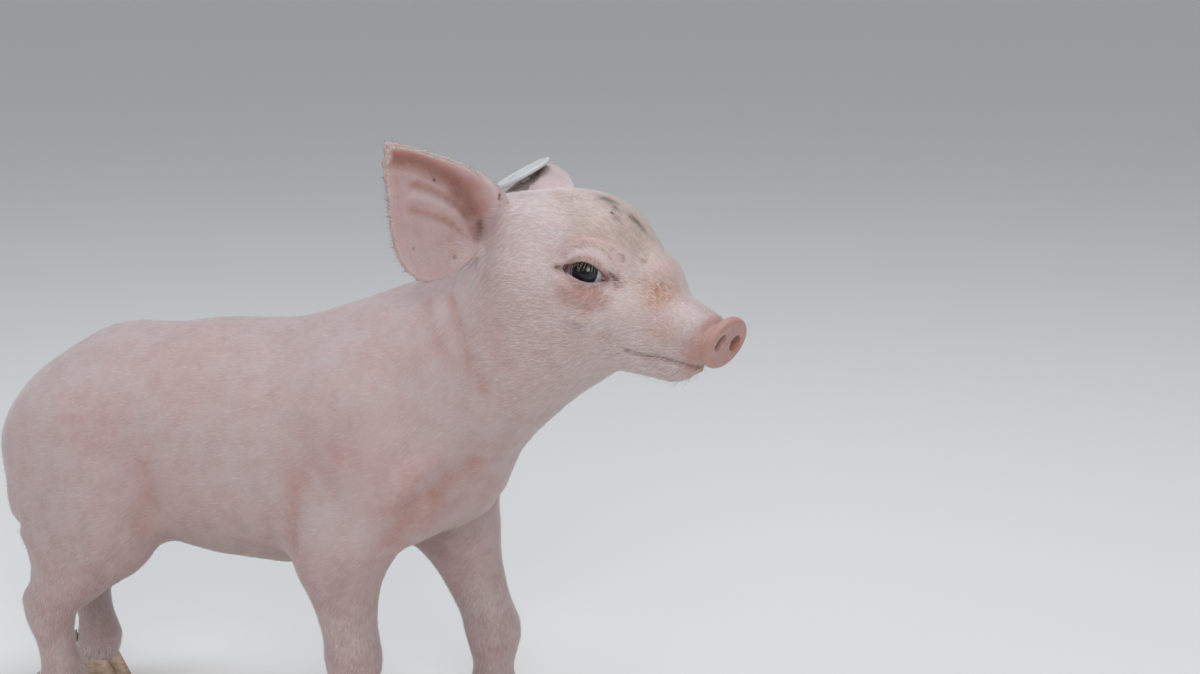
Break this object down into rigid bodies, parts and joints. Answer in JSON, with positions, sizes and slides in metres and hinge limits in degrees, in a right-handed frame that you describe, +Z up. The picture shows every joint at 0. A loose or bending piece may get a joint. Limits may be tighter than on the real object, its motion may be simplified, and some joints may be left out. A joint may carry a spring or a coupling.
{
  "type": "piglet",
  "caption": "Life-size standing piglet with its head raised and turned to the right, one ear cupped upright and one laid back with a round tag.",
  "frame": {"origin": "on the floor, under the middle of the animal's bounding box", "axes": "+X forward along the trunk, +Y to the animal's left, +Z up"},
  "size_m": [0.3744, 0.1512, 0.2857],
  "materials": {
    "skin": "pale pink skin under short white hair",
    "ear_skin": "thin pink skin, deeper pink inside",
    "snout_skin": "moist bare pink skin",
    "horn": "pale brown horn",
    "eye": "wet, nearly black",
    "tag_plastic": "off-white, bare"
  },
  "bodies": {
    "root": {"claw_fore_left_inner": "horn", "claw_fore_left_outer": "horn", "claw_fore_right_inner": "horn", "claw_fore_right_outer": "horn", "claw_hind_left_inner": "horn", "claw_hind_left_outer": "horn", "claw_hind_right_inner": "horn", "claw_hind_right_outer": "horn", "dewclaw_fore_left_inner": "horn", "dewclaw_fore_left_outer": "horn", "dewclaw_fore_right_inner": "horn", "dewclaw_fore_right_outer": "horn", "dewclaw_hind_left_inner": "horn", "dewclaw_hind_left_outer": "horn", "dewclaw_hind_right_inner": "horn", "dewclaw_hind_right_outer": "horn", "ear_left": "ear_skin", "ear_right": "ear_skin", "eye_left": "eye", "eye_right": "eye", "head": "skin", "leg_fore_left": "skin", "leg_fore_right": "skin", "leg_hind_left": "skin", "leg_hind_right": "skin", "neck": "skin", "snout": "snout_skin", "tag_plate": "tag_plastic", "tag_stud": "tag_plastic", "tail": "skin", "torso": "skin"}
  },
  "joints": []
}
